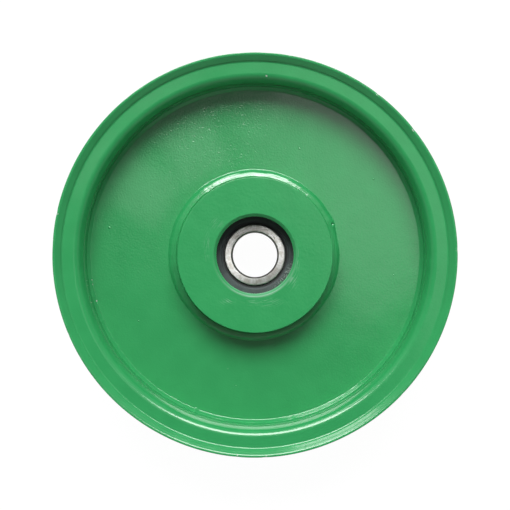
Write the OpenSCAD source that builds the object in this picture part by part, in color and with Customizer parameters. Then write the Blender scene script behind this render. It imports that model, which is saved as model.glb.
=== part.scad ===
// Welded steel idler pulley with flared flanges, running on one sealed ball bearing.
// The axis is Z, the origin is the centre of the bore, and the closed hub mouth faces +Z.

/* [Rim] */
// Diameter of the drum that the belt runs on
drum_d = 156; // [140:0.5:180]
// Width from lip to lip
rim_w = 44; // [38:0.5:56]
// Thickness of the formed sheet
sheet_t = 3; // [2:0.1:3.4]
// Radius of the bend from drum to flange, on its visible side
bend_r = 4; // [3.6:0.1:5]
// Width of the flat ring on the flange
flat_w = 4.7; // [3:0.1:8]
// Radial width of the joggle between flat ring and lip
joggle_w = 0.9; // [0.5:0.1:1.2]
// Height of the joggle
joggle_h = 1; // [0.4:0.1:1.4]
// Radius of the soft bend from flat ring to joggle
joggle_bend = 1.4; // [0.5:0.1:2]
// Radial width of the lip
lip_flare = 2.9; // [2:0.1:5]
// Slope of the lip in degrees
lip_slope = 35; // [12:1:38]
// Radius of the rounded lip edge
lip_round = 0.9; // [0.5:0.1:1.2]

/* [Web and hub] */
// Thickness of the web disc
web_t = 6; // [4:0.5:10]
// Outside diameter of the hub
hub_d = 67.6; // [62:0.2:80]
// Length of the hub
hub_len = 33; // [30:0.5:40]
// Chamfer on the hub's outer edges
hub_chamfer = 0.3; // [0.2:0.1:1.5]
// Diameter of the front mouth
mouth_d = 33.8; // [30:0.2:38]
// Chamfer of the front mouth
mouth_chamfer = 1.2; // [0.4:0.1:2]
// Lead-in chamfer of the rear opening
rear_chamfer = 1; // [0.4:0.1:1.6]

/* [Welds] */
// Radius of the bead at the foot of the hub
hub_bead = 4.3; // [3:0.1:5.5]
// Radius of the bead between web and drum
rim_bead = 1.6; // [1:0.1:3]
// Radius of the lump where the front hub bead starts and stops
lump_r = 2.2; // [1.6:0.1:2.8]
// Direction of the lump in degrees from +X
lump_angle = 19; // [0:1:359]

/* [Bearing] */
// Bore diameter
bore_d = 20; // [18:0.1:22]
// Outside diameter
bearing_d = 47; // [43:0.1:52]
// Width
bearing_w = 14; // [13.4:0.1:15]
// Corner chamfer of the rings
ring_chamfer = 0.6; // [0.3:0.1:0.9]
// Edge break at the seal side of the inner ring
ring_break = 0.15; // [0.05:0.05:0.3]
// Number of balls
ball_count = 8; // [6:1:8]
// Ball diameter
ball_d = 7.938; // [7:0.001:8]
// Race groove radius beyond the ball's radius
race_ease = 0.13; // [0.08:0.01:0.3]
// Gap between a ball and the bottom of a race
ball_gap = 0.03; // [0.01:0.01:0.08]
// Step from the inner ring's shoulder down to the land where the seal lip runs
land_step = 1.1; // [0.8:0.05:1.4]
// Width of the outer ring's ledge behind a seal
seal_ledge = 1.15; // [0.8:0.05:1.6]
// Depth of the groove that holds a seal
seal_groove = 0.5; // [0.3:0.05:0.7]

/* [Seals] */
// Distance from ring face to seal face
seal_recess = 0.5; // [0.4:0.05:0.7]
// Thickness of the seal's thin lip
lip_t = 0.5; // [0.3:0.05:0.6]
// Radial reach of the thin lip
lip_w = 1.4; // [1.1:0.05:1.8]
// Gap between seal lip and inner ring
lip_gap = 0.15; // [0.08:0.01:0.25]
// Rounding of the seal's inner edge
seal_round = 0.55; // [0.3:0.05:0.6]

/* [Cage] */
// Radial width of the cage band
cage_w = 2.8; // [2:0.1:3]
// Thickness of the cage sheet
cage_t = 0.7; // [0.5:0.05:0.75]
// Gap between the cage band and the shoulders of the rings
shoulder_gap = 1; // [0.7:0.05:1.2]
// Gap between the cage's domes and the plane of the shoulders
dome_gap = 0.31; // [0.1:0.01:0.6]
// Gap between ball and cage pocket
pocket_gap = 0.12; // [0.08:0.01:0.2]
// Rivet shank diameter
rivet_d = 1; // [0.8:0.05:1.2]
// Rivet head diameter
rivet_head_d = 1.9; // [1.7:0.05:2.1]
// Rivet head height
rivet_head_h = 0.5; // [0.3:0.05:0.7]

/* [Snap ring] */
// Thickness
snap_t = 1.75; // [1.5:0.05:2]
// Side gap in its groove
snap_gap = 0.1; // [0.05:0.01:0.2]
// Depth of the groove in the hub
snap_depth = 1.25; // [1:0.05:1.5]
// Radial width opposite the gap
snap_wide = 4.4; // [4:0.1:5]
// Radial width at the lugs
snap_narrow = 3; // [2.5:0.1:3.5]
// Half angle of the gap in degrees
snap_open = 13; // [10:1:15]
// Radius of a lug
lug_r = 3; // [2.6:0.1:3.2]
// Diameter of the plier holes
lug_hole_d = 2.5; // [1.5:0.1:3]

/* [Hidden] */
$fn = 96;
overcut = 1;
drum_r = drum_d / 2 - sheet_t;
flat_from = drum_r + bend_r;
joggle_from = flat_from + flat_w;
lip_from = joggle_from + joggle_w;
rim_r = lip_from + lip_flare;
reach = 2 * rim_r;
lip_top_r = rim_r - lip_round;
lip_rise = (lip_top_r - lip_from) * tan(lip_slope) - lip_round / cos(lip_slope) + lip_round;
flange_z = rim_w / 2 - joggle_h - lip_rise;
lip_mid_z = rim_w / 2 - lip_round;
web_z = web_t / 2;
hub_r = hub_d / 2;
hub_z = hub_len / 2;
face_z = bearing_w / 2;
mouth_r = mouth_d / 2;
seat_r = bearing_d / 2;
pitch_r = (bore_d + bearing_d) / 4;
ball_r = ball_d / 2;
race_r = ball_r + race_ease;
pocket_r = ball_r + pocket_gap;
shoulder_z = pocket_r + cage_t + dome_gap;
inner_shoulder_r = pitch_r - cage_w / 2 - shoulder_gap;
outer_shoulder_r = pitch_r + cage_w / 2 + shoulder_gap;
land_r = inner_shoulder_r - land_step;
seal_r = outer_shoulder_r + seal_ledge;
seal_z = face_z - seal_recess;
ball_step = 360 / ball_count;
snap_r = seat_r + snap_depth;
snap_hole_r = snap_r - (snap_wide + snap_narrow) / 2;
snap_shift = (snap_wide - snap_narrow) / 2;
lug_turn = snap_open + asin(lug_r / (snap_r - lug_r));

// Half of the rim section, from the middle of the drum to the lip edge
module rim_half() {
    translate([drum_r, 0]) square([sheet_t, flange_z - bend_r]);
    translate([flat_from, flange_z - bend_r])
        intersection() {
            difference() {
                circle(bend_r);
                circle(bend_r - sheet_t);
            }
            translate([-bend_r, 0]) square(bend_r);
        }
    translate([flat_from, flange_z - sheet_t]) square([flat_w, sheet_t]);
    joggle_fill();
    lip_section();
}

// Soft bend in the corner where the flat ring turns up into the joggle
module joggle_fill() {
    turn = atan2(joggle_h, joggle_w);
    run = joggle_bend * tan(turn / 2);
    translate([joggle_from, flange_z])
        difference() {
            polygon([[0, 0], [run * cos(turn), run * sin(turn)], [-run, joggle_bend], [-run, 0]]);
            translate([-run, joggle_bend]) circle(joggle_bend);
        }
}

// Joggle and sloping lip, with the upper edge rounded
module lip_section() {
    lip_z = flange_z + joggle_h;
    end_z = lip_z + (rim_r - lip_from) * tan(lip_slope) - sheet_t;
    touch = [lip_top_r - lip_round * sin(lip_slope), lip_mid_z + lip_round * cos(lip_slope)];
    polygon([
        [joggle_from, flange_z - sheet_t], [lip_from, lip_z - sheet_t], [rim_r, end_z],
        [rim_r, lip_mid_z], [lip_top_r, lip_mid_z], touch, [lip_from, lip_z], [joggle_from, flange_z]
    ]);
    translate([lip_top_r, lip_mid_z]) circle(lip_round);
}

module rim() {
    color("SeaGreen") rotate_extrude() {
        rim_half();
        mirror([0, 1]) rim_half();
    }
}

module web_disc() {
    color("MediumSeaGreen") difference() {
        cylinder(r = drum_r, h = web_t, center = true);
        cylinder(r = hub_r, h = web_t + overcut, center = true);
    }
}

// Run of weld in the corner between web and drum
module rim_weld() {
    color("SeaGreen") rotate_extrude()
        translate([drum_r, web_z])
            intersection() {
                circle(rim_bead);
                translate([-rim_bead, 0]) square(rim_bead);
            }
}

// Convex bead in the corner between web and hub
module hub_weld() {
    rotate_extrude()
        translate([hub_r, web_z])
            intersection() {
                circle(hub_bead);
                square(hub_bead);
            }
}

// The front bead has a lump where it starts and stops
module hub_weld_front() {
    color("SeaGreen") {
        hub_weld();
        difference() {
            rotate(lump_angle) translate([hub_r + hub_bead - lump_r / 2, 0, web_z]) sphere(lump_r);
            translate([0, 0, web_z - reach]) cylinder(r = reach, h = reach);
        }
    }
}

module hub_weld_rear() {
    color("SeaGreen") mirror([0, 0, 1]) hub_weld();
}

// Bored from the rear: seat, snap ring groove and open end, with a narrow mouth in front
module hub() {
    groove_z = -face_z - snap_t - snap_gap;
    color("ForestGreen") rotate_extrude() polygon([
        [mouth_r, face_z], [mouth_r, hub_z - mouth_chamfer], [mouth_r + mouth_chamfer, hub_z],
        [hub_r - hub_chamfer, hub_z], [hub_r, hub_z - hub_chamfer],
        [hub_r, hub_chamfer - hub_z], [hub_r - hub_chamfer, -hub_z],
        [seat_r + rear_chamfer, -hub_z], [seat_r, rear_chamfer - hub_z],
        [seat_r, groove_z], [snap_r, groove_z], [snap_r, -face_z], [seat_r, -face_z], [seat_r, face_z]
    ]);
}

// Closed section from the points of its upper half
module mirrored(half) {
    polygon(concat(half, [for (i = [len(half) - 1:-1:0]) [half[i][0], -half[i][1]]]));
}

module bearing_outer_ring() {
    race_x = pitch_r + ball_r + ball_gap - race_r;
    color("Silver") rotate_extrude() difference() {
        mirrored([
            [seat_r, face_z - ring_chamfer], [seat_r - ring_chamfer, face_z], [seal_r, face_z],
            [seal_r, seal_z], [seal_r + seal_groove, seal_z - seal_groove],
            [seal_r + seal_groove, shoulder_z], [outer_shoulder_r, shoulder_z]
        ]);
        translate([race_x, 0]) circle(race_r);
    }
}

module bearing_inner_ring() {
    race_x = pitch_r - ball_r - ball_gap + race_r;
    color("Silver") rotate_extrude() difference() {
        mirrored([
            [inner_shoulder_r, shoulder_z - ring_break], [inner_shoulder_r - ring_break, shoulder_z],
            [land_r, shoulder_z], [land_r, face_z - ring_break], [land_r - ring_break, face_z],
            [bore_d / 2 + ring_chamfer, face_z], [bore_d / 2, face_z - ring_chamfer]
        ]);
        translate([race_x, 0]) circle(race_r);
    }
}

// Rubber seal snapped into the outer ring, its thin lip running just clear of the inner ring
module seal() {
    lip_r = land_r + lip_gap;
    lip_z = shoulder_z + lip_gap;
    body_r = lip_r + lip_w;
    color("DimGray") rotate_extrude() {
        polygon([
            [lip_r, lip_z], [outer_shoulder_r, lip_z], [outer_shoulder_r, shoulder_z],
            [seal_r + seal_groove, shoulder_z], [seal_r + seal_groove, seal_z - seal_groove],
            [seal_r, seal_z], [body_r + seal_round, seal_z], [body_r, seal_z - seal_round],
            [body_r, lip_z + lip_t], [lip_r, lip_z + lip_t]
        ]);
        translate([body_r + seal_round, seal_z - seal_round]) circle(seal_round);
    }
}

module at_balls(turn = 0) {
    for (i = [1:ball_count]) rotate(90 + (i - 1) * ball_step + turn) translate([pitch_r, 0, 0]) children();
}

module ball(i) {
    color("LightGray") rotate(90 + (i - 1) * ball_step) translate([pitch_r, 0, 0]) sphere(ball_r);
}

// Band of the cage's width, from the joint plane up
module cage_band(height) {
    difference() {
        cylinder(r = pitch_r + cage_w / 2, h = height);
        translate([0, 0, -overcut]) cylinder(r = pitch_r - cage_w / 2, h = height + 2 * overcut);
    }
}

// Pressed cage half: flat between the balls, domed over each ball
module cage_half() {
    difference() {
        intersection() {
            cage_band(ball_d);
            union() {
                cylinder(r = pitch_r + cage_w, h = cage_t);
                at_balls() sphere(pocket_r + cage_t);
            }
        }
        at_balls() sphere(pocket_r);
        at_balls(ball_step / 2) cylinder(d = rivet_d, h = 3 * cage_t, center = true);
    }
}

module cage_rivet() {
    dome_r = (pow(rivet_head_d / 2, 2) + pow(rivet_head_h, 2)) / (2 * rivet_head_h);
    rotate_extrude() {
        square([rivet_d / 2, cage_t]);
        intersection() {
            translate([0, cage_t + rivet_head_h - dome_r]) circle(dome_r);
            translate([0, cage_t]) square([rivet_head_d / 2, rivet_head_h]);
        }
    }
}

module cage_rivets() {
    color("Silver") at_balls(ball_step / 2) {
        cage_rivet();
        mirror([0, 0, 1]) cage_rivet();
    }
}

// Internal retaining ring with two lugs, behind the bearing
module snap_ring() {
    color("DarkSlateGray") translate([0, 0, -face_z - snap_t]) linear_extrude(snap_t) difference() {
        intersection() {
            circle(snap_r);
            union() {
                difference() {
                    circle(snap_r + overcut);
                    translate([0, snap_shift]) circle(snap_hole_r);
                }
                for (side = [-1, 1]) rotate(side * lug_turn) translate([0, snap_r - lug_r]) circle(lug_r);
            }
        }
        polygon([[0, 0], [-reach * tan(snap_open), reach], [reach * tan(snap_open), reach]]);
        for (side = [-1, 1]) rotate(side * lug_turn) translate([0, snap_r - lug_r]) circle(d = lug_hole_d);
    }
}

rim();
web_disc();
rim_weld();  // rim_weld_front
mirror([0, 0, 1]) rim_weld();  // rim_weld_rear
hub();
hub_weld_front();
hub_weld_rear();
bearing_outer_ring();
bearing_inner_ring();
for (i = [1:ball_count]) ball(i);
color("LightSteelBlue") cage_half();  // cage_front
color("LightSteelBlue") mirror([0, 0, 1]) cage_half();  // cage_rear
cage_rivets();
seal();  // seal_front
mirror([0, 0, 1]) seal();  // seal_rear
snap_ring();
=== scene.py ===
"""Idler pulley in worn green paint on its sealed ball bearing, lying on a plain pale floor."""
import math

import bmesh
import bpy
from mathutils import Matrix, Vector, noise


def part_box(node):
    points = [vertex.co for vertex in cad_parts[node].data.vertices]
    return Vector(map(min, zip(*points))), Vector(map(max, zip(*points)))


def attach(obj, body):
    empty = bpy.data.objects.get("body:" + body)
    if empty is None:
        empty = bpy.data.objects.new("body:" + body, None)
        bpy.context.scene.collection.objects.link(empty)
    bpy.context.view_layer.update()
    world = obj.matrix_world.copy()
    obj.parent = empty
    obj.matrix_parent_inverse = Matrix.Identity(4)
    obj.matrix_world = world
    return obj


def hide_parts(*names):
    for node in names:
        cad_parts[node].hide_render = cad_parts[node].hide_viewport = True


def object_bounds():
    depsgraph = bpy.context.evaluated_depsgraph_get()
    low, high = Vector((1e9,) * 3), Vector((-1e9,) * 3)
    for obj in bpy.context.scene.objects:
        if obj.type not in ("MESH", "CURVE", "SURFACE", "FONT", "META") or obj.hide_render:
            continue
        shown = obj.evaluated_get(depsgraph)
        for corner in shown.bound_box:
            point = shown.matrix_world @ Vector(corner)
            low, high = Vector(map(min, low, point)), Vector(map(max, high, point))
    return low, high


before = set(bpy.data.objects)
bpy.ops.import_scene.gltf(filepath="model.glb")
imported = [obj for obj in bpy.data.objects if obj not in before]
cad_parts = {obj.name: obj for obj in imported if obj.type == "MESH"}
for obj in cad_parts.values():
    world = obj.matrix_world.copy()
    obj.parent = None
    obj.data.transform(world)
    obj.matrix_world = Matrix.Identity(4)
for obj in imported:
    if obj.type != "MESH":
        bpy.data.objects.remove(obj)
cad_low, cad_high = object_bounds()

# Lengths are millimetres unless a name ends in _m. The axis is Z and the photographed side faces +Z.
MM = 0.001
BOX_SLACK = 0.001


def reach(node):
    """Outer radius, kept a hair inside the node's box, and height above the middle plane."""
    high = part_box(node)[1]
    return min(high.x, high.y) / MM - BOX_SLACK, high.z / MM


# Main sizes from the frame
rim_r, rim_z = reach("rim")
drum_r, web_z = reach("web_disc")
hub_r, hub_z = reach("hub")
bearing_r, face_z = reach("bearing_outer_ring")
shoulder_r = reach("bearing_inner_ring")[0]
seal_z = reach("seal_front")[1]
snap_r, snap_top = reach("snap_ring")
snap_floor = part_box("snap_ring")[0].z / MM

# Sheet and edges of the rim; arcs are (radius, tilt from, tilt to), roll marks (share of the slope, height)
SHEET_T = 3.0
FLANGE_W = 8.85
BEND_ARCS = ((12.0, 90, 66), (4.0, 66, 40), (3.2, 40, 0))
BEND_STEPS = 8
UNDER_BEND_R = 1.0
JOGGLE_W = 0.5
JOGGLE_H = 0.74
JOGGLE_BEND = 1.0
JOGGLE_SOFT = 0.3
LIP_SLOPE = math.radians(37)
LIP_LAND = 0.92
LIP_CROWN = 1.3
LIP_EDGE = 0.25
LIP_UNDER = 0.3
LIP_ROLL_MARKS = ((0.24, -0.03), (0.42, 0.04), (0.60, -0.045), (0.78, 0.02))

# Hub, mouth and bearing seat
HUB_CHAMFER = 0.2
PAINT_T = 0.2
MOUTH_R = 16.9
MOUTH_CHAMFER = 1.2
REAR_CHAMFER = 1.0
PAINT_SOFT = 0.24
SNAP_GROOVE_GAP = 0.1

# Bearing
BORE_R = 10.0
RING_CHAMFER = 0.6
EDGE_BREAK = 0.15
STEEL_SOFT = 0.08
PITCH_R = 16.75
BALL_R = 3.969
BALL_GAP = 0.03
RACE_R = 4.099
SHOULDER_Z = 5.099
LAND_R = 13.25
OUTER_SHOULDER_R = 19.15
SEAL_FACE_R = 20.3
SEAL_GROOVE = 0.5
SEAL_LIP_GAP = 0.15
SEAL_LIP_T = 0.5
SEAL_LIP_W = 1.4
SEAL_CROWN = 0.55
SEAL_SOFT = 0.1

# Snap ring
SNAP_WIDE = 4.4
SNAP_NARROW = 3.0
SNAP_OPEN = math.radians(13)
LUG_R = 3.0
LUG_HOLE_R = 1.25
LUG_SWEEP = 1.15 * math.pi
LUG_NECK = 0.9
SNAP_BREAK = 0.12

# Welds
HUB_BEAD = 4.6
HUB_BEAD_SHIFT = 0.5
HUB_BEAD_ARCS = ((3.2, 60, 24), (6.0, 24, 10), (0.4, 10, -65))
HUB_BEAD_STEPS = 14
BEAD_STOP = math.radians(20.5)
REAR_BEAD_STOP = math.radians(140)
PIT_DEPTH = 0.8
RIM_BEAD = 1.6
RIM_BEAD_SLOPE = math.radians(41)
RIM_BEAD_STEPS = (0.9, 0.7, 0.5, 0.35, 0.2)
REAR_LUMPS_TURN = 2.0
TOE_R = 0.5
TOE_STEPS = 6
BURIED = 0.25

# Wear of the rim: chips of the lip (degrees, half width in degrees, depth 0 to 1), and a fleck on the bend
LIP_CHIPS = (
    (1.5, 0.7, 0.7), (38.5, 0.9, 0.9), (52.5, 0.6, 1.0), (80, 0.8, 0.6), (87, 1.3, 0.6),
    (94, 1.6, 0.6), (129, 0.5, 0.5), (168, 0.9, 0.8), (177, 2.4, 0.5), (203, 0.5, 0.5),
    (265, 0.7, 0.8), (273, 0.8, 0.9), (317, 0.5, 0.6),
)
CHIP_DEPTH = 0.22
LIP_WEAR_FROM_EDGE = 0.7
LIP_WEAR_W = 0.45
BEND_FLECK = (5.0, 77.5, 19.4)
FLECK_R = 0.24
FLECK_WEAR_R = 0.5

# Wear of web and hub: grains under the paint (x, y, radius), scuffs (x, y, half width, half height, share)
WEB_GRAINS = (
    (19.9, 47.6, 0.45), (53.0, 34.0, 0.5), (-65.0, 12.3, 0.55), (-46.5, 26.2, 0.35), (38.4, -31.0, 0.3),
    (-52.0, -29.5, 0.35), (-8.5, -58.5, 0.3), (62.0, -9.0, 0.3),
)
HUB_SCUFFS = (
    (18.6, -2.5, 0.9, 4.5, 0.75), (16.4, -10.5, 2.0, 3.4, 0.6), (-12.0, -20.2, 2.6, 0.9, 0.6),
    (4.0, -20.5, 6.0, 1.3, 0.6), (-21.0, 4.0, 1.0, 5.0, 0.45), (-17.0, 13.5, 2.5, 2.0, 0.3),
)
WEB_ROUGH_AT = math.radians(112)
WEB_ROUGH_SPREAD = 0.95
WEB_FLOWED = 0.7
TORN_AT = math.radians(-42)
TORN_SPREAD = math.radians(24)
TORN_REACH = 0.9
# Painted highlight on the lower half of the mouth's chamfer: its centre and spread round the axis
CHAMFER_HIGHLIGHT_AT = math.radians(-78)
CHAMFER_HIGHLIGHT_SPREAD = 1.1
SCRATCH_AT = math.radians(-33)
SCRATCH_SPREAD = 0.32
SCRATCH_R = 16.4
SCRATCH_W = 0.8

# Grains as meshes
NIB_SIDES = 12
NIB_RINGS = 4
NIB_SUNK = 0.05
NIB_RISE = 0.55

# Flaked and lumpy spots of the rim bead (degrees, half width in degrees, size)
RIM_BEAD_FLAKES = (
    (188.6, 0.3, 0.8), (190.3, 0.4, 0.8), (193.8, 0.35, 0.8), (196.2, 0.5, 0.8), (197.0, 0.3, 0.8),
    (203.3, 0.4, 0.8),
)
RIM_BEAD_LUMPS = ((194, 0.9, 0.2), (203.5, 0.4, 0.3), (249, 0.45, 0.5), (188, 0.6, 0.15))

# Steps of the revolved meshes
AROUND = 480
RIM_AROUND = 580
HUB_AROUND = 720
WELD_AROUND = 960
BEARING_AROUND = 240
ARC_STEPS = 5
WEB_STEPS = 36
HUB_FACE_STEPS = 20


# Mesh tools

def rounded(corners):
    """Closed section from corners (r, z, fillet), with each fillet drawn as an arc."""
    line = []
    for i, (r, z, fillet) in enumerate(corners):
        here = Vector((r, z))
        if not fillet:
            line.append(here)
            continue
        to_last = (Vector(corners[i - 1][:2]) - here).normalized()
        to_next = (Vector(corners[(i + 1) % len(corners)][:2]) - here).normalized()
        half = to_last.angle(to_next) / 2
        centre = here + (to_last + to_next).normalized() * (fillet / math.sin(half))
        start = here + to_last * (fillet / math.tan(half)) - centre
        end = here + to_next * (fillet / math.tan(half)) - centre
        steps = ARC_STEPS + min(8, int(2 * fillet))
        line.extend(centre + start.slerp(end, k / steps).normalized() * fillet for k in range(steps + 1))
    return line


def straight(start, end, steps):
    """Points from start up to, and without, end."""
    return [Vector(start).lerp(Vector(end), k / steps) for k in range(steps)]


def climb(arcs, steps):
    """Run, rise and tilt along a bulging slope of arcs (radius, tilt from, tilt to, in degrees)."""
    line = [(0.0, 0.0, math.radians(arcs[0][1]))]
    for size, steep, gentle in arcs:
        run, rise, foot = line[-1]
        for tilt in (math.radians(steep + (gentle - steep) * k / steps) for k in range(1, steps + 1)):
            over = size * (math.sin(foot) - math.sin(tilt))
            line.append((run + over, rise + size * (math.cos(tilt) - math.cos(foot)), tilt))
    return line[1:]


def mirrored(half):
    """Closed corner list from the corners of its upper half."""
    return half + [(r, -z, fillet) for r, z, fillet in reversed(half)]


def revolve(name, section_at, around=AROUND):
    """Mesh swept round Z. section_at gives the closed section at an angle, always with as many points."""
    bm = bmesh.new()
    rings = []
    for i in range(around):
        angle = 2 * math.pi * i / around
        along = Vector((math.cos(angle), math.sin(angle), 0)) * MM
        rings.append([bm.verts.new(along * r + Vector((0, 0, z * MM))) for r, z in section_at(angle)])
    for ring, following in zip(rings, rings[1:] + rings[:1]):
        for k in range(len(ring)):
            bm.faces.new((ring[k - 1], ring[k], following[k], following[k - 1]))
    bmesh.ops.recalc_face_normals(bm, faces=bm.faces)
    mesh = bpy.data.meshes.new(name)
    bm.to_mesh(mesh)
    bm.free()
    return mesh


def add_piece(name, mesh, material, slot, body, *nodes, crease=35):
    """Puts a mesh on its body in place of the CAD nodes that it stands for."""
    mesh.shade_smooth()
    mesh.set_sharp_from_angle(angle=math.radians(crease))
    mesh.materials.append(material)
    piece = bpy.data.objects.new(name, mesh)
    bpy.context.scene.collection.objects.link(piece)
    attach(piece, body)
    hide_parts(*nodes)
    return piece


def wobble(angle, rate, seed):
    """Smooth value from -1 to 1 that closes on itself round the circle."""
    return noise.noise(Vector((math.cos(angle) * rate, math.sin(angle) * rate, seed)))


def bump_at(angle, centre, width):
    """Bell curve of an angle, 1 at the centre."""
    off = math.remainder(angle - centre, 2 * math.pi)
    return math.exp(-(off / width) ** 2)


# Shader tools

def join(tree, value, socket):
    """Feeds a socket from another node, or sets it to a plain value."""
    if isinstance(value, bpy.types.NodeSocket):
        tree.links.new(value, socket)
    else:
        socket.default_value = value


def put(tree, kind, sockets=None, **settings):
    """Adds a shader node, with its settings and its sockets."""
    made = tree.nodes.new("ShaderNode" + kind)
    for name, value in settings.items():
        setattr(made, name, value)
    for name, value in (sockets or {}).items():
        join(tree, value, made.inputs[name])
    return made


def maths(tree, operation, first, second=0.0):
    """Result of one sum on two values."""
    return put(tree, "Math", {0: first, 1: second}, operation=operation).outputs[0]


def mix(tree, share, first, second):
    """Colour between two others."""
    return put(tree, "Mix", {0: share, 6: first, 7: second}, data_type="RGBA").outputs[2]


def ramp(tree, value, low, high, to_low=0.0, to_high=1.0):
    """Smooth step of a value between two limits."""
    sockets = {"Value": value, "From Min": low, "From Max": high, "To Min": to_low, "To Max": to_high}
    return put(tree, "MapRange", sockets, interpolation_type="SMOOTHSTEP").outputs["Result"]


def shader_group(name, inputs, outputs):
    """Empty node group with float inputs and their defaults, and float outputs."""
    group = bpy.data.node_groups.new(name, "ShaderNodeTree")
    for socket, value in inputs.items():
        made = group.interface.new_socket(socket, in_out="INPUT", socket_type="NodeSocketFloat")
        made.default_value = value
    for socket in outputs:
        group.interface.new_socket(socket, in_out="OUTPUT", socket_type="NodeSocketFloat")
    return group, group.nodes.new("NodeGroupInput").outputs, group.nodes.new("NodeGroupOutput").inputs


def use(tree, group, sockets):
    """Places a group in a material and gives its outputs."""
    made = tree.nodes.new("ShaderNodeGroup")
    made.node_tree = group
    for name, value in sockets.items():
        join(tree, value, made.inputs[name])
    return made.outputs


def place_mm(tree):
    """Position on the piece in millimetres."""
    spot = put(tree, "TexCoord").outputs["Object"]
    return put(tree, "VectorMath", {0: spot, "Scale": 1 / MM}, operation="SCALE").outputs[0]


def radius_mm(tree, place):
    """Distance from the axis in millimetres."""
    across = put(tree, "VectorMath", {0: place, 1: (1, 1, 0)}, operation="MULTIPLY").outputs[0]
    return put(tree, "VectorMath", {0: across}, operation="LENGTH").outputs["Value"]


def speckle(tree, place, size, detail=2.0):
    """Noise with grains of a size in millimetres."""
    scale = maths(tree, "DIVIDE", 1.0, size)
    return put(tree, "TexNoise", {"Vector": place, "Scale": scale, "Detail": detail}).outputs["Fac"]


# Shared surface effects

def make_orange_peel():
    """Dimpled skin of sprayed paint, and the faint cloudiness of its colour."""
    sizes = {"Dimple": 1.5, "Cloud": 14.0}
    group, inputs, outputs = shader_group("Orange peel", sizes, ["Height", "Cloudiness"])
    place = place_mm(group)
    dimples = speckle(group, place, inputs["Dimple"])
    drift = speckle(group, place, inputs["Cloud"])
    join(group, maths(group, "ADD", dimples, maths(group, "MULTIPLY", drift, 2.0)), outputs["Height"])
    join(group, ramp(group, drift, 0.3, 0.7), outputs["Cloudiness"])
    return group


def make_worn_edge():
    """Ragged mask where an edge value, 0 to 1, wears through the finish."""
    group, inputs, outputs = shader_group("Worn edge", {"Edge": 0.0, "Flake": 1.2}, ["Mask"])
    ragged = speckle(group, place_mm(group), inputs["Flake"], 4.0)
    depth = maths(group, "ADD", inputs["Edge"], maths(group, "MULTIPLY", ragged, 0.9))
    join(group, ramp(group, depth, 1.02, 1.12), outputs["Mask"])
    return group


def make_flecks():
    """Small scattered specks of dust and grit."""
    group, inputs, outputs = shader_group("Flecks", {"Spacing": 9.0, "Radius": 0.25}, ["Mask"])
    place = place_mm(group)
    scale = maths(group, "DIVIDE", 1.0, inputs["Spacing"])
    cells = put(group, "TexVoronoi", {"Vector": place, "Scale": scale})
    span = maths(group, "MULTIPLY", cells.outputs["Distance"], inputs["Spacing"])
    luck = put(group, "SeparateColor", {"Color": cells.outputs["Color"]}).outputs[0]
    radius = maths(group, "MULTIPLY", inputs["Radius"], ramp(group, luck, 0.55, 1.0))
    near = ramp(group, maths(group, "SUBTRACT", span, radius), -0.05, 0.1, 1.0, 0.0)
    join(group, near, outputs["Mask"])
    return group


def make_turning_lines():
    """Fine rings left by a turned or wiped surface round the axis."""
    group, inputs, outputs = shader_group("Turning lines", {"Pitch": 0.35, "Broken": 0.6}, ["Lines"])
    place = place_mm(group)
    parts = put(group, "SeparateXYZ", {"Vector": place})
    turn = maths(group, "ARCTAN2", parts.outputs["Y"], parts.outputs["X"])
    fine = maths(group, "DIVIDE", radius_mm(group, place), inputs["Pitch"])
    broken = maths(group, "MULTIPLY", turn, inputs["Broken"])
    sweep = put(group, "CombineXYZ", {"X": fine, "Y": broken}).outputs[0]
    lines = put(group, "TexNoise", {"Vector": sweep, "Scale": 1.0, "Detail": 3.0}).outputs["Fac"]
    join(group, lines, outputs["Lines"])
    return group


orange_peel = make_orange_peel()
worn_edge = make_worn_edge()
flecks = make_flecks()
turning_lines = make_turning_lines()


# Materials

PAINT_GREEN = (0.031, 0.340, 0.104, 1)
PAINT_DEEP = (0.028, 0.322, 0.097, 1)
# Chalky colour of rub marks, also used for the painted highlight on the mouth's chamfer
PAINT_CHALK_AND_HIGHLIGHT = (0.30, 0.52, 0.38, 1)
BARE_EDGE = (0.46, 0.55, 0.48, 1)
DUST = (0.55, 0.66, 0.58, 1)
GROUND_STEEL = (0.82, 0.815, 0.80, 1)
STAINED_STEEL = (0.56, 0.53, 0.48, 1)
BORE_DARK_STEEL = (0.10, 0.085, 0.075, 1)
BALL_BRIGHT = (0.82, 0.82, 0.82, 1)
CAGE_DULL = (0.48, 0.48, 0.47, 1)
CAGE_BRIGHT = (0.66, 0.66, 0.65, 1)
SEAL_GREY = (0.062, 0.078, 0.079, 1)
SEAL_DARK = (0.048, 0.058, 0.060, 1)
# Near-black painted shade for the seal's lip gap
SEAL_LIP_PAINTED_SHADE = (0.008, 0.009, 0.009, 1)
SPRING_DARK = (0.040, 0.040, 0.042, 1)
SPRING_RUBBED = (0.11, 0.105, 0.10, 1)
FLOOR_WHITE = (0.92, 0.92, 0.92, 1)
WHITE = (1, 1, 1, 1)
COAT_ROUGHNESS = 0.08


def new_material(name):
    """Material with an empty tree and its shader, which is joined to the output."""
    material = bpy.data.materials.new(name)
    material.use_nodes = True
    tree = material.node_tree
    tree.nodes.clear()
    shader = put(tree, "BsdfPrincipled")
    join(tree, shader.outputs["BSDF"], put(tree, "OutputMaterial").inputs["Surface"])
    return material, tree, shader


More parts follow.
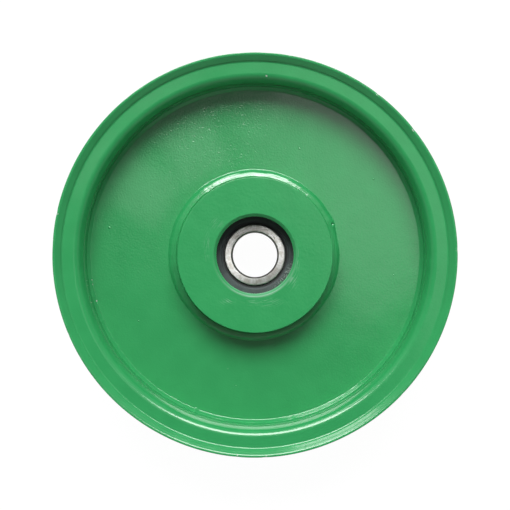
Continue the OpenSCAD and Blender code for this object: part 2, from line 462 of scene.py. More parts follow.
def paint(name, dimple, depth, gloss, shine, coat, spacing, ripple=0.0):
    """Gloss green enamel: dimpled or rippled skin, cloudy colour, chipped edges, dust, chalky rub marks, and
    a pale painted highlight where a piece's attribute marks one.
    """
    material, tree, shader = new_material(name)
    skin = use(tree, orange_peel, {"Dimple": dimple, "Cloud": 11.0})
    edge = put(tree, "Attribute", attribute_name="edge").outputs["Fac"]
    chips = use(tree, worn_edge, {"Edge": edge, "Flake": 1.1})["Mask"]
    rub = put(tree, "Attribute", attribute_name="rub").outputs["Fac"]
    rings = use(tree, turning_lines, {"Pitch": 0.4, "Broken": 4.0})["Lines"]
    scuffs = maths(tree, "MULTIPLY", rub, ramp(tree, rings, 0.50, 0.62, 0.0, 0.8))
    # Painted highlight of the mouth's chamfer, in the chalky colour, joined with the rub marks
    rubbed_and_highlight = put(tree, "Attribute", attribute_name="chalk_and_highlight").outputs["Fac"]
    chalk_and_highlight = maths(tree, "MAXIMUM", scuffs, rubbed_and_highlight)
    dust = use(tree, flecks, {"Spacing": spacing, "Radius": 0.22})["Mask"]
    colour = mix(tree, skin["Cloudiness"], PAINT_DEEP, PAINT_GREEN)
    colour = mix(tree, chalk_and_highlight, colour, PAINT_CHALK_AND_HIGHLIGHT)
    colour = mix(tree, maths(tree, "MULTIPLY", dust, 0.35), colour, DUST)
    colour = mix(tree, chips, colour, BARE_EDGE)
    join(tree, colour, shader.inputs["Base Color"])
    dull = maths(tree, "ADD", maths(tree, "MULTIPLY", skin["Cloudiness"], 0.04), gloss)
    join(tree, maths(tree, "ADD", dull, maths(tree, "MULTIPLY", chips, 0.25)), shader.inputs["Roughness"])
    join(tree, ramp(tree, chips, 0.0, 1.0, coat, 0.0), shader.inputs["Coat Weight"])
    shader.inputs["Coat Roughness"].default_value = COAT_ROUGHNESS
    shader.inputs["Specular IOR Level"].default_value = shine
    ripples = use(tree, turning_lines, {"Pitch": 0.45, "Broken": 7.0})["Lines"]
    smooth = put(tree, "Attribute", attribute_name="smooth").outputs["Fac"]
    dimples = maths(tree, "MULTIPLY", skin["Height"], maths(tree, "SUBTRACT", 1.0, smooth))
    skin_height = maths(tree, "ADD", dimples, maths(tree, "MULTIPLY", ripples, ripple))
    height = maths(tree, "SUBTRACT", skin_height, maths(tree, "MULTIPLY", chips, 1.5))
    bump = put(tree, "Bump", {"Height": height, "Distance": depth * MM, "Strength": 1.0})
    join(tree, bump.outputs["Normal"], shader.inputs["Normal"])
    return material


def ground_steel():
    """Ring faces ground bright, lightly stained, with fine marks across the face."""
    material, tree, shader = new_material("ground_steel")
    place = place_mm(tree)
    stain = ramp(tree, speckle(tree, place, 2.4, 5.0), 0.42, 0.62)
    marks = use(tree, turning_lines, {"Pitch": 2.5, "Broken": 26.0})["Lines"]
    colour = mix(tree, maths(tree, "MULTIPLY", stain, 0.75), GROUND_STEEL, STAINED_STEEL)
    colour = mix(tree, ramp(tree, marks, 0.40, 0.66, 0.0, 0.5), colour, STAINED_STEEL)
    # The bore and the inner half of its chamfer are coloured darker
    radius = radius_mm(tree, place)
    past_bore = ramp(tree, radius, BORE_R + 0.5 * RING_CHAMFER, BORE_R + RING_CHAMFER)
    join(tree, mix(tree, past_bore, BORE_DARK_STEEL, colour), shader.inputs["Base Color"])
    shader.inputs["Metallic"].default_value = 1.0
    join(tree, ramp(tree, marks, 0.3, 0.7, 0.40, 0.54), shader.inputs["Roughness"])
    shader.inputs["Anisotropic"].default_value = 0.55
    shader.inputs["Anisotropic Rotation"].default_value = -0.05
    around = put(tree, "Tangent", direction_type="RADIAL", axis="Z").outputs["Tangent"]
    join(tree, around, shader.inputs["Tangent"])
    bump = put(tree, "Bump", {"Height": marks, "Distance": 0.02 * MM, "Strength": 1.0})
    join(tree, bump.outputs["Normal"], shader.inputs["Normal"])
    return material


def polished_steel():
    """Bright balls with a faint haze."""
    material, tree, shader = new_material("polished_steel")
    haze = speckle(tree, place_mm(tree), 1.2, 3.0)
    join(tree, mix(tree, haze, GROUND_STEEL, BALL_BRIGHT), shader.inputs["Base Color"])
    join(tree, ramp(tree, haze, 0.3, 0.7, 0.06, 0.12), shader.inputs["Roughness"])
    shader.inputs["Metallic"].default_value = 1.0
    return material


def pressed_steel():
    """Rolled and pressed cage sheet, with the drag lines of the press."""
    material, tree, shader = new_material("pressed_steel")
    lines = use(tree, turning_lines, {"Pitch": 0.15, "Broken": 2.0})["Lines"]
    join(tree, mix(tree, lines, CAGE_DULL, CAGE_BRIGHT), shader.inputs["Base Color"])
    join(tree, ramp(tree, lines, 0.3, 0.7, 0.25, 0.4), shader.inputs["Roughness"])
    shader.inputs["Metallic"].default_value = 1.0
    return material


def seal_rubber():
    """Moulded rubber, dulled by dust, with a fine moulded grain and its lip painted near-black as painted
    shade of the gap by the ring.
    """
    material, tree, shader = new_material("seal_rubber")
    place = place_mm(tree)
    bloom = ramp(tree, speckle(tree, place, 4.0, 3.0), 0.3, 0.7)
    dust = use(tree, flecks, {"Spacing": 2.2, "Radius": 0.12})["Mask"]
    # Painted shade: the lip, inside lip_end, is coloured near-black as the shaded gap between seal and ring
    lip_end = LAND_R + SEAL_LIP_W
    beyond_lip = ramp(tree, radius_mm(tree, place), lip_end - 0.4, lip_end)
    colour = mix(tree, beyond_lip, SEAL_LIP_PAINTED_SHADE, mix(tree, bloom, SEAL_DARK, SEAL_GREY))
    colour = mix(tree, maths(tree, "MULTIPLY", dust, 0.3), colour, DUST)
    scratches = use(tree, turning_lines, {"Pitch": 1.6, "Broken": 34.0})["Lines"]
    scratched = put(tree, "Attribute", attribute_name="scratched").outputs["Fac"]
    pale = maths(tree, "MULTIPLY", scratched, ramp(tree, scratches, 0.50, 0.60, 0.0, 0.7))
    join(tree, mix(tree, pale, colour, DUST), shader.inputs["Base Color"])
    join(tree, ramp(tree, bloom, 0.0, 1.0, 0.5, 0.62), shader.inputs["Roughness"])
    grain = speckle(tree, place, 0.25, 2.0)
    bump = put(tree, "Bump", {"Height": grain, "Distance": 0.02 * MM, "Strength": 1.0})
    join(tree, bump.outputs["Normal"], shader.inputs["Normal"])
    return material


def spring_steel():
    """Dark phosphated spring steel, rubbed lighter in patches."""
    material, tree, shader = new_material("spring_steel")
    place = place_mm(tree)
    grain = speckle(tree, place, 0.3, 3.0)
    rubbed_and_highlight = ramp(tree, speckle(tree, place, 3.5, 4.0), 0.5, 0.75)
    join(tree, mix(tree, rubbed_and_highlight, SPRING_DARK, SPRING_RUBBED), shader.inputs["Base Color"])
    join(tree, ramp(tree, grain, 0.3, 0.7, 0.42, 0.6), shader.inputs["Roughness"])
    shader.inputs["Metallic"].default_value = 0.6
    bump = put(tree, "Bump", {"Height": grain, "Distance": 0.01 * MM, "Strength": 1.0})
    join(tree, bump.outputs["Normal"], shader.inputs["Normal"])
    return material


rim_paint = paint("rim_enamel", dimple=1.0, depth=0.045, gloss=0.16, shine=0.6, coat=0.5, spacing=16.0)
web_paint = paint("web_enamel", dimple=0.8, depth=0.165, gloss=0.12, shine=0.9, coat=1.0, spacing=11.0)
hub_paint = paint("hub_enamel", dimple=1.2, depth=0.070, gloss=0.20, shine=0.6, coat=0.35, spacing=12.0)
weld_paint = paint(
    "weld_enamel", dimple=1.0, depth=0.040, gloss=0.11, shine=1.0, coat=0.5, spacing=14.0, ripple=1.8,
)
ring_steel = ground_steel()
ball_steel = polished_steel()
cage_steel = pressed_steel()
rubber = seal_rubber()
snap_steel = spring_steel()


# Painted pieces

def set_values(mesh, name, value_at):
    """Stores a value for each vertex, worked out from its place in millimetres."""
    values = mesh.attributes.new(name, "FLOAT", "POINT")
    values.data.foreach_set("value", [value_at(v.co / MM) for v in mesh.vertices])


def bend_line(flat_z):
    """Corners of the bend from the wall to the flat ring."""
    line = climb(BEND_ARCS, BEND_STEPS)
    foot_z = flat_z - line[-1][1]
    return [(drum_r, foot_z, 0)] + [(drum_r + run, foot_z + rise, 0) for run, rise, _ in line]


def rim_section():
    """Formed sheet of the rim: wall, bend, flat ring, joggle and lip on both sides."""
    joggle_from = drum_r + FLANGE_W
    lip_from = joggle_from + JOGGLE_W
    crown_r = rim_r - LIP_LAND
    lip_z = rim_z - (crown_r - lip_from) * math.tan(LIP_SLOPE)
    flat_z = lip_z - JOGGLE_H
    under_z = lip_z + (rim_r - lip_from) * math.tan(LIP_SLOPE) - SHEET_T
    marks = [
        (lip_from + share * (crown_r - lip_from), lip_z + share * (rim_z - lip_z) + height, 0)
        for share, height in LIP_ROLL_MARKS
    ]
    return rounded(mirrored(bend_line(flat_z) + [
        (joggle_from, flat_z, JOGGLE_BEND), (lip_from, lip_z, JOGGLE_SOFT), *marks,
        (crown_r, rim_z, LIP_CROWN), (rim_r, rim_z, LIP_EDGE), (rim_r, under_z, LIP_UNDER),
        (lip_from, lip_z - SHEET_T, JOGGLE_SOFT), (joggle_from, flat_z - SHEET_T, JOGGLE_SOFT),
        (drum_r + SHEET_T, flat_z - SHEET_T, UNDER_BEND_R),
    ]))


def peak(angle, spots):
    """Greatest of several spots (degrees, half width in degrees, size) at an angle."""
    return max(size * bump_at(angle, math.radians(at), math.radians(wide)) for at, wide, size in spots)


def chip_depth(angle):
    """How deep the lip is chipped at an angle, 0 to 1."""
    return peak(angle, LIP_CHIPS)


def lip_wear(place):
    """How far the lip is worn, most along its crown; the rear lip mirrors the front."""
    radius = math.hypot(place.x, place.y)
    angle = math.atan2(place.y, place.x if place.z > 0 else -place.x)
    outer = math.exp(-((rim_r - LIP_WEAR_FROM_EDGE - radius) / LIP_WEAR_W) ** 2)
    fleck = math.dist(place, BEND_FLECK) < FLECK_WEAR_R
    return max(fleck, outer * (0.16 + 0.08 * wobble(angle, 6.0, 2.0) + 0.7 * chip_depth(angle)))


def add_nibs(mesh, spots):
    """Adds grains caught under the paint: low uneven closed domes with their foot sunk in the surface."""
    bm = bmesh.new()
    bm.from_mesh(mesh)
    for x, y, z, radius in spots:
        lower = None
        for k in range(NIB_RINGS):
            rise = math.pi / 2 * k / NIB_RINGS
            ring = []
            for turn in (2 * math.pi * i / NIB_SIDES for i in range(NIB_SIDES)):
                across = radius * math.cos(rise) * (1 + 0.35 * wobble(turn, 0.9, x))
                up = z - NIB_SUNK + NIB_RISE * radius * math.sin(rise)
                ring.append(bm.verts.new((x + across * math.cos(turn), y + across * math.sin(turn), up)))
            if lower is None:
                bm.faces.new(ring[::-1])
            for i in range(NIB_SIDES if lower else 0):
                bm.faces.new((lower[i - 1], lower[i], ring[i], ring[i - 1]))
            lower = ring
        bm.faces.new(lower)
    fresh = [v for v in bm.verts if v.co.length > 1]
    bmesh.ops.scale(bm, vec=(MM, MM, MM), verts=fresh)
    bm.to_mesh(mesh)
    bm.free()


def make_rim():
    section = rim_section()

    def section_at(angle):
        dent = CHIP_DEPTH * chip_depth(angle) * (0.6 + 0.8 * wobble(angle, 90.0, 1.0))
        return [Vector((r - max(0.0, dent) * max(0.0, r - rim_r + 1.0), z)) for r, z in section]

    mesh = revolve("rim_band", section_at, RIM_AROUND)
    add_nibs(mesh, [BEND_FLECK + (FLECK_R,)])
    set_values(mesh, "edge", lip_wear)
    add_piece("rim_band", mesh, rim_paint, "rim_paint", "pulley", "rim")


def web_smoothness(place):
    """How far the web's dimples are flowed out: least at the upper left, as the photo shows it."""
    rough = bump_at(math.atan2(place.y, place.x), WEB_ROUGH_AT, WEB_ROUGH_SPREAD)
    return WEB_FLOWED - WEB_FLOWED * rough


def make_web():
    front = straight((drum_r, web_z), (hub_r, web_z), WEB_STEPS)
    rear = straight((hub_r, -web_z), (drum_r, -web_z), WEB_STEPS)
    section = front + [Vector((hub_r, web_z))] + rear + [Vector((drum_r, -web_z))]
    mesh = revolve("web_plate", lambda angle: section)
    add_nibs(mesh, [(x, y, web_z, radius) for x, y, radius in WEB_GRAINS])
    set_values(mesh, "smooth", web_smoothness)
    add_piece("web_plate", mesh, web_paint, "web_paint", "pulley", "web_disc")


def torn_skin(angle):
    """How far shreds of paint skin hang into the mouth, all in one stretch of it."""
    stretch = bump_at(angle, TORN_AT, TORN_SPREAD)
    shreds = wobble(angle, 30.0, 3.0) + 0.6 * wobble(angle, 80.0, 6.0) + 0.1
    return TORN_REACH * stretch * max(0.0, shreds)


def hub_scuffs(place):
    """Scuffed patches of the front face."""
    if place.z < hub_z - MOUTH_CHAMFER or math.hypot(place.x, place.y) < MOUTH_R + MOUTH_CHAMFER:
        return 0.0
    return max(
        share * math.exp(-((place.x - x) / wide) ** 2 - ((place.y - y) / high) ** 2)
        for x, y, wide, high, share in HUB_SCUFFS
    )


def mouth_chamfer_highlight(place):
    """Painted highlight on the lower half of the mouth's chamfer, along both of its edges, where the chamfer
    faces the light.
    """
    depth = (hub_z - place.z) / MOUTH_CHAMFER
    if depth > 1.3 or math.hypot(place.x, place.y) > MOUTH_R + MOUTH_CHAMFER + PAINT_SOFT:
        return 0.0
    edges = 0.55 - 0.4 * math.exp(-((depth - 0.5) / 0.25) ** 2)
    return edges * bump_at(math.atan2(place.y, place.x), CHAMFER_HIGHLIGHT_AT, CHAMFER_HIGHLIGHT_SPREAD)


def skin_wear(place):
    """Bare shreds of paint skin, the more the further they hang into the mouth."""
    return min(0.62, max(0.0, MOUTH_R - math.hypot(place.x, place.y)) * 1.6)


def make_hub():
    groove_z = snap_floor - SNAP_GROOVE_GAP
    face_from = MOUTH_R + MOUTH_CHAMFER
    side_r = hub_r + PAINT_T
    face_to = side_r - HUB_CHAMFER
    face_steps = [
        (face_from + (face_to - face_from) * k / HUB_FACE_STEPS, hub_z, 0) for k in range(1, HUB_FACE_STEPS)
    ]
    outside = face_steps + [
        (face_to, hub_z, PAINT_SOFT), (side_r, hub_z - HUB_CHAMFER, PAINT_SOFT),
        (side_r, HUB_CHAMFER - hub_z, PAINT_SOFT), (face_to, -hub_z, PAINT_SOFT),
        (bearing_r + REAR_CHAMFER, -hub_z, PAINT_SOFT), (bearing_r, REAR_CHAMFER - hub_z, PAINT_SOFT),
        (bearing_r, groove_z, 0), (snap_r, groove_z, 0), (snap_r, -face_z, 0),
        (bearing_r, -face_z, 0), (bearing_r, face_z, 0), (MOUTH_R, face_z, 0),
    ]
    chamfer_mid = ((MOUTH_R + face_from) / 2, hub_z - MOUTH_CHAMFER / 2, 0)

    def section_at(angle):
        skin_r = MOUTH_R - torn_skin(angle)
        return rounded([
            (skin_r, face_z + 0.08, 0), (skin_r, face_z + 0.16, 0), (MOUTH_R, face_z + 1.2, 0),
            (MOUTH_R, hub_z - MOUTH_CHAMFER, PAINT_SOFT), chamfer_mid, (face_from, hub_z, PAINT_SOFT),
        ] + outside)

    mesh = revolve("hub_boss", section_at, HUB_AROUND)
    set_values(mesh, "rub", hub_scuffs)
    # Painted highlight on the lower half of the mouth's chamfer
    set_values(mesh, "chalk_and_highlight", mouth_chamfer_highlight)
    set_values(mesh, "edge", skin_wear)
    add_piece("hub_boss", mesh, hub_paint, "hub_paint", "pulley", "hub")


def bead_toe(leg, slope):
    """Paint-filled toe of a bead: a small hollow curve from the web up to the bead's slope."""
    turns = [slope * k / TOE_STEPS for k in range(TOE_STEPS + 1)]
    return [(leg, -BURIED)] + [(leg - TOE_R * math.sin(t), TOE_R * (1 - math.cos(t))) for t in turns]


def in_corner(corner_r, out, up, outline):
    """Section of a bead, from its reach along the web and its rise above it."""
    return [Vector((corner_r + out * along, up * (web_z + rise))) for along, rise in outline]


def hub_bead_leg(angle, seed, stop):
    """Reach of the hub bead: wider on one side, and fuller where it ends over its own start."""
    over = 0.55 * bump_at(angle, stop + 0.05, 0.07) + 0.25 * bump_at(angle, stop + 0.22, 0.16)
    under = 0.35 * bump_at(angle, stop - 0.16, 0.10)
    waves = ((0.22, 2.5), (0.12, 9.0), (0.05, 30.0))
    uneven = sum(size * wobble(angle, rate, seed) for size, rate in waves)
    return HUB_BEAD - HUB_BEAD_SHIFT * math.cos(angle) + uneven + over - under


def make_hub_weld(name, up, seed, stop, node):
    """Low round bead with drawn-out streaks on its back, a notch at the hub and a pit where it stops."""
    line = climb(HUB_BEAD_ARCS, HUB_BEAD_STEPS)

    def section_at(angle):
        leg = hub_bead_leg(angle, seed, stop)
        pit = PIT_DEPTH * bump_at(angle, stop + 0.02, 0.014)
        outline = bead_toe(leg, math.radians(HUB_BEAD_ARCS[0][1]))
        toe_along, toe_rise = outline[-1]
        size = leg / HUB_BEAD
        for run, rise, tilt in line:
            streak = 0.08 * wobble(angle, 5.0, seed + 4.4 * run) * max(0.0, 0.35 + math.sin(tilt))
            dent = streak - pit * math.exp(-((tilt - 0.75) / 0.16) ** 2)
            along = toe_along - size * run + dent * math.sin(tilt)
            outline.append((along, toe_rise + size * rise + dent * math.cos(tilt)))
        outline += [(-BURIED, outline[-1][1]), (-BURIED, -BURIED)]
        return in_corner(hub_r, 1, up, outline)

    mesh = revolve(name, section_at, WELD_AROUND)
    add_piece(name, mesh, weld_paint, "weld_paint", "pulley", node)


def bead_flakes(place):
    """Spots of the front rim bead where the paint has flaked off its toe."""
    toe = math.exp(-((drum_r - RIM_BEAD + 0.3 - math.hypot(place.x, place.y)) / 0.45) ** 2)
    return toe * peak(math.atan2(place.y, place.x), RIM_BEAD_FLAKES)


def make_rim_weld(name, up, seed, node):
    """Thin bead with a straight face, a little lumpy."""
    def section_at(angle):
        lumps = peak(angle if up > 0 else angle + REAR_LUMPS_TURN, RIM_BEAD_LUMPS)
        leg = RIM_BEAD + 0.07 * wobble(angle, 34.0, seed) + 0.12 * wobble(angle, 8.0, seed) + lumps
        outline = bead_toe(leg, RIM_BEAD_SLOPE)
        toe_along, toe_rise = outline[-1]
        for along in RIM_BEAD_STEPS:
            streak = 0.02 * wobble(angle, 16.0, seed + 4.0 * along)
            outline.append((along, toe_rise + (toe_along - along) * math.tan(RIM_BEAD_SLOPE) + streak))
        top = outline[-1][1]
        outline += [(0.06, top + 0.1), (0.0, top + 0.35), (-BURIED, top + 0.35), (-BURIED, -BURIED)]
        return in_corner(drum_r, -1, up, outline)

    mesh = revolve(name, section_at, WELD_AROUND)
    if up > 0:
        set_values(mesh, "edge", bead_flakes)
    add_piece(name, mesh, weld_paint, "weld_paint", "pulley", node)


make_rim()
make_web()
make_hub()
make_hub_weld("hub_bead_front", 1, 4.0, BEAD_STOP, "hub_weld_front")
make_hub_weld("hub_bead_rear", -1, 9.0, REAR_BEAD_STOP, "hub_weld_rear")
make_rim_weld("rim_bead_front", 1, 5.0, "rim_weld_front")
make_rim_weld("rim_bead_rear", -1, 7.0, "rim_weld_rear")


# Bearing

def race(centre_r, shoulder, side):
    """Corners along a race groove from its upper to its lower shoulder."""
    half = math.acos((shoulder - centre_r) * side / RACE_R)
    turns = [half * (1 - k / 10) for k in range(21)]
    return [(centre_r + side * RACE_R * math.cos(t), RACE_R * math.sin(t), 0) for t in turns]


def make_inner_ring():
    upper = [
        (BORE_R, face_z - RING_CHAMFER, STEEL_SOFT), (BORE_R + RING_CHAMFER, face_z, STEEL_SOFT),
        (LAND_R - EDGE_BREAK, face_z, STEEL_SOFT), (LAND_R, face_z - EDGE_BREAK, STEEL_SOFT),
        (LAND_R, SHOULDER_Z, 0), (shoulder_r - EDGE_BREAK, SHOULDER_Z, 0),
        (shoulder_r, SHOULDER_Z - EDGE_BREAK, 0),
    ]
    lower = [(r, -z, fillet) for r, z, fillet in reversed(upper)]
    groove = race(PITCH_R - BALL_R - BALL_GAP + RACE_R, shoulder_r, -1)
    section = rounded(upper + groove + lower)
    mesh = revolve("inner_ring", lambda angle: section, BEARING_AROUND)
    add_piece("inner_ring", mesh, ring_steel, "ring_steel", "inner", "bearing_inner_ring")


def make_outer_ring():
    upper = [
        (OUTER_SHOULDER_R, SHOULDER_Z, 0), (SEAL_FACE_R + SEAL_GROOVE, SHOULDER_Z, 0),
        (SEAL_FACE_R + SEAL_GROOVE, seal_z - SEAL_GROOVE, 0), (SEAL_FACE_R, seal_z, 0),
        (SEAL_FACE_R, face_z, 0),
        (bearing_r - RING_CHAMFER, face_z, STEEL_SOFT), (bearing_r, face_z - RING_CHAMFER, STEEL_SOFT),
    ]
    lower = [(r, -z, fillet) for r, z, fillet in reversed(upper)]
    groove = race(PITCH_R + BALL_R + BALL_GAP - RACE_R, OUTER_SHOULDER_R, 1)
    section = rounded(upper + lower + groove[::-1])
    mesh = revolve("outer_ring", lambda angle: section, BEARING_AROUND)
    add_piece("outer_ring", mesh, ring_steel, "ring_steel", "pulley", "bearing_outer_ring")


def seal_scratches(place):
    """One stretch of the front seal's outer edge, scratched through the mouth."""
    if place.z < 0:
        return 0.0
    edge = math.exp(-((math.hypot(place.x, place.y) - SCRATCH_R) / SCRATCH_W) ** 2)
    return bump_at(math.atan2(place.y, place.x), SCRATCH_AT, SCRATCH_SPREAD) * edge


def make_seal(name, up, node):
    lip_r = LAND_R + SEAL_LIP_GAP
    lip_z = SHOULDER_Z + SEAL_LIP_GAP
    body_r = lip_r + SEAL_LIP_W
    face_steps = [(SEAL_FACE_R - 0.4 * k, seal_z, 0) for k in range(1, 12)]
    section = rounded([
        (lip_r, lip_z, SEAL_SOFT), (OUTER_SHOULDER_R, lip_z, 0), (OUTER_SHOULDER_R, SHOULDER_Z, 0),
        (SEAL_FACE_R + SEAL_GROOVE, SHOULDER_Z, 0), (SEAL_FACE_R + SEAL_GROOVE, seal_z - SEAL_GROOVE, 0),
        (SEAL_FACE_R, seal_z, SEAL_SOFT), *face_steps, (body_r, seal_z, SEAL_CROWN),
        (body_r, lip_z + SEAL_LIP_T, SEAL_SOFT), (lip_r, lip_z + SEAL_LIP_T, SEAL_SOFT),
    ])
    mesh = revolve(name, lambda angle: [Vector((r, up * z)) for r, z in section], BEARING_AROUND)
    set_values(mesh, "scratched", seal_scratches)
    add_piece(name, mesh, rubber, "seal_rubber", "pulley", node)


def arc(centre, radius, start, end, steps):
    """Points of an arc about a centre, from one angle to another."""
    turns = [start + (end - start) * k / steps for k in range(steps + 1)]
    return [(centre[0] + radius * math.cos(t), centre[1] + radius * math.sin(t)) for t in turns]


def snap_outline():
    """Outline of the snap ring with its gap at +Y: outer edge, lug, inner edge, lug."""
    lug_turn = SNAP_OPEN + math.asin(LUG_R / (snap_r - LUG_R))
    hole_r = snap_r - (SNAP_WIDE + SNAP_NARROW) / 2
    shift = (SNAP_WIDE - SNAP_NARROW) / 2
    up = math.pi / 2
    start = up + lug_turn
    lug = (snap_r - LUG_R) * math.cos(start), (snap_r - LUG_R) * math.sin(start)
    outer = arc((0, 0), snap_r, up + lug_turn, up + 2 * math.pi - lug_turn, 120)
    neck = lug_turn + math.asin(LUG_R * LUG_NECK / hole_r)
    inner = arc((0, shift), hole_r, up + 2 * math.pi - neck, up + neck, 110)
    left = arc(lug, LUG_R, start - LUG_SWEEP, start, 16)
    right = [(-x, y) for x, y in reversed(left)]
    return outer + right[1:] + inner + left[:-1], [lug, (-lug[0], lug[1])]


def make_snap_ring():
    outline, lugs = snap_outline()
    curve = bpy.data.curves.new("snap_outline", "CURVE")
    curve.dimensions = "2D"
    curve.fill_mode = "BOTH"
    thick = (snap_top - snap_floor) * MM
    curve.bevel_depth = SNAP_BREAK * MM
    curve.bevel_resolution = 1
    curve.offset = -SNAP_BREAK * MM
    curve.extrude = thick / 2 - SNAP_BREAK * MM
    for points in [outline] + [arc(lug, LUG_HOLE_R, 0, 2 * math.pi, 40)[:-1] for lug in lugs]:
        line = curve.splines.new("POLY")
        line.points.add(len(points) - 1)
        line.points.foreach_set("co", [v for x, y in points for v in (x * MM, y * MM, 0, 1)])
        line.use_cyclic_u = True
    shape = bpy.data.objects.new("snap_outline", curve)
    mesh = bpy.data.meshes.new_from_object(shape)
    bpy.data.objects.remove(shape)
    mesh.name = "retaining_ring"
    for vertex in mesh.vertices:
        vertex.co.z += (snap_top + snap_floor) / 2 * MM
    bm = bmesh.new()
    bm.from_mesh(mesh)
    bmesh.ops.remove_doubles(bm, verts=bm.verts, dist=1e-6)
    bmesh.ops.recalc_face_normals(bm, faces=bm.faces)
    bm.to_mesh(mesh)
    bm.free()
    add_piece("retaining_ring", mesh, snap_steel, "spring_steel", "pulley", "snap_ring")


make_inner_ring()
make_outer_ring()
make_seal("seal_face_front", 1, "seal_front")
make_seal("seal_face_rear", -1, "seal_rear")
make_snap_ring()

for node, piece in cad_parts.items():
    if node.startswith("ball_"):
        piece.material_slots[0].material = ball_steel
    if node.startswith("cage_"):
        piece.material_slots[0].material = cage_steel


# Floor, light and camera

FLOOR_HALF_M = 6.0
FLOOR_DROP_M = 0.0001
FLOOR_GLOW_SHARE = 0.94
LIGHT_TILT = math.radians(40)
LIGHT_TURN = math.radians(92)
LIGHT_FAR_M = 3.0
LIGHT_WIDE_M = 2.3
LIGHT_HIGH_M = 1.5
LIGHT_POWER = 106
WALL_FAR_M = 3.2
WALL_WIDE_M = 5.5
WALL_HIGH_M = 2.2
WALL_POWER = 15
LOW_TILT = math.radians(66)
LOW_TURN = math.radians(115)
LOW_WIDE_M = 1.3
LOW_HIGH_M = 0.5
LOW_POWER = 10
FILL_TILT = math.radians(58)
FILL_TURN = math.radians(272)
FILL_WIDE_M = 4.4
FILL_HIGH_M = 2.0
FILL_POWER = 2.5
CEILING_FAR_M = 1.3
RIGHT_TILT = math.radians(11)
RIGHT_TURN = math.radians(34)
RIGHT_WIDE_M = 0.36
RIGHT_POWER = 0.265
TOP_TILT = math.radians(7.9)
TOP_TURN = math.radians(120)
LEFT_TILT = math.radians(8.3)
LEFT_TURN = math.radians(150)
LEFT_WIDE_M = 0.08
LEFT_POWER = 0.023
SKY_GLOW = 0.105
HORIZON_GLOW = 0.26
BACKDROP_GLOW = 1.04
CAMERA_FAR_M = 0.55
CAMERA_LENS = 86.4
CAMERA_SENSOR = 36.0
CAMERA_NEAR_M = 0.01


def make_floor():
    """Pale matt floor that is evenly bright where it is looked at or mirrored."""
    material = bpy.data.materials.new("pale_floor")
    material.use_nodes = True
    tree = material.node_tree
    tree.nodes.clear()
    path = put(tree, "LightPath").outputs
    seen = maths(tree, "MAXIMUM", path["Is Camera Ray"], path["Is Glossy Ray"])
    matt = put(tree, "BsdfDiffuse", {"Color": FLOOR_WHITE}).outputs[0]
    glow = put(tree, "Emission", {"Color": WHITE, "Strength": BACKDROP_GLOW}).outputs[0]
    share = maths(tree, "MULTIPLY", seen, FLOOR_GLOW_SHARE)
    mixed = put(tree, "MixShader", {0: share, 1: matt, 2: glow}).outputs[0]
    join(tree, mixed, put(tree, "OutputMaterial").inputs["Surface"])
    bm = bmesh.new()
    bmesh.ops.create_grid(bm, x_segments=8, y_segments=8, size=FLOOR_HALF_M)
    mesh = bpy.data.meshes.new("floor")
    bm.to_mesh(mesh)
    bm.free()
    mesh.materials.append(material)
    floor = bpy.data.objects.new("floor", mesh)
    floor.location.z = cad_low.z - FLOOR_DROP_M
    bpy.context.scene.collection.objects.link(floor)


def make_sky():
    """Dim room light, paler near the horizon, with a white backdrop where the camera looks past the floor."""
    world = bpy.data.worlds.new("studio")
    world.use_nodes = True
    tree = world.node_tree
    tree.nodes.clear()
    seen = put(tree, "LightPath").outputs["Is Camera Ray"]
    direction = put(tree, "TexCoord").outputs["Generated"]
    height = put(tree, "SeparateXYZ", {"Vector": direction}).outputs["Z"]
    glow = ramp(tree, height, 0.2, 0.6, HORIZON_GLOW, SKY_GLOW)
    room = put(tree, "Background", {"Color": WHITE, "Strength": glow}).outputs[0]
    backdrop = put(tree, "Background", {"Color": WHITE, "Strength": BACKDROP_GLOW}).outputs[0]
    mixed = put(tree, "MixShader", {0: seen, 1: room, 2: backdrop}).outputs[0]
    join(tree, mixed, put(tree, "OutputWorld").inputs["Surface"])
    bpy.context.scene.world = world


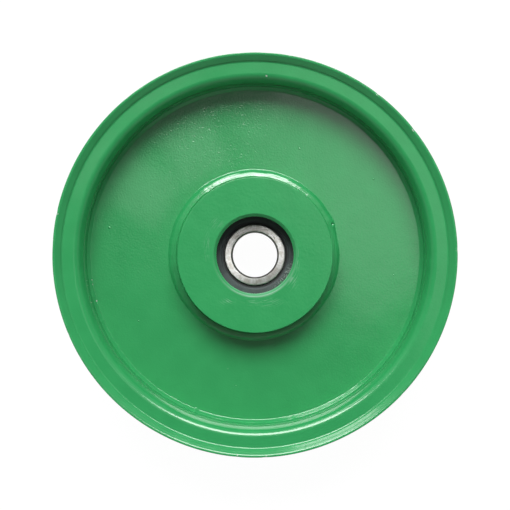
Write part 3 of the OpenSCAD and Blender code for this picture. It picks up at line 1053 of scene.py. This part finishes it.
def make_light(name, tilt, turn, far_m, wide_m, high_m, power):
    """Soft rectangular light aimed at the part, tilted from its axis towards an angle round it."""
    lamp = bpy.data.lights.new(name, "AREA")
    lamp.shape = "RECTANGLE"
    lamp.size = wide_m
    lamp.size_y = high_m
    lamp.energy = power
    aim = Vector((math.sin(tilt) * math.cos(turn), math.sin(tilt) * math.sin(turn), math.cos(tilt)))
    box = bpy.data.objects.new(name, lamp)
    box.location = aim * far_m
    box.rotation_mode = "QUATERNION"
    box.rotation_quaternion = aim.to_track_quat("Z", "Y")
    box.visible_camera = False
    bpy.context.scene.collection.objects.link(box)


def make_camera():
    view = bpy.data.cameras.new("camera")
    view.lens = CAMERA_LENS
    view.sensor_width = CAMERA_SENSOR
    view.clip_start = CAMERA_NEAR_M
    camera = bpy.data.objects.new("camera", view)
    camera.location = (0, 0, CAMERA_FAR_M)
    bpy.context.scene.collection.objects.link(camera)
    bpy.context.scene.camera = camera


make_floor()
make_sky()
make_light("soft_box", LIGHT_TILT, LIGHT_TURN, LIGHT_FAR_M, LIGHT_WIDE_M, LIGHT_HIGH_M, LIGHT_POWER)
make_light("pale_wall", LIGHT_TILT, LIGHT_TURN, WALL_FAR_M, WALL_WIDE_M, WALL_HIGH_M, WALL_POWER)
make_light("low_window", LOW_TILT, LOW_TURN, LIGHT_FAR_M, LOW_WIDE_M, LOW_HIGH_M, LOW_POWER)
make_light("front_fill", FILL_TILT, FILL_TURN, LIGHT_FAR_M, FILL_WIDE_M, FILL_HIGH_M, FILL_POWER)
make_light("ceiling_right", RIGHT_TILT, RIGHT_TURN, CEILING_FAR_M, RIGHT_WIDE_M, RIGHT_WIDE_M, RIGHT_POWER)
make_light("ceiling_top", TOP_TILT, TOP_TURN, CEILING_FAR_M, LEFT_WIDE_M, LEFT_WIDE_M, LEFT_POWER)
make_light("ceiling_left", LEFT_TILT, LEFT_TURN, CEILING_FAR_M, LEFT_WIDE_M, LEFT_WIDE_M, LEFT_POWER)
make_camera()
bpy.context.scene.view_settings.view_transform = "Standard"
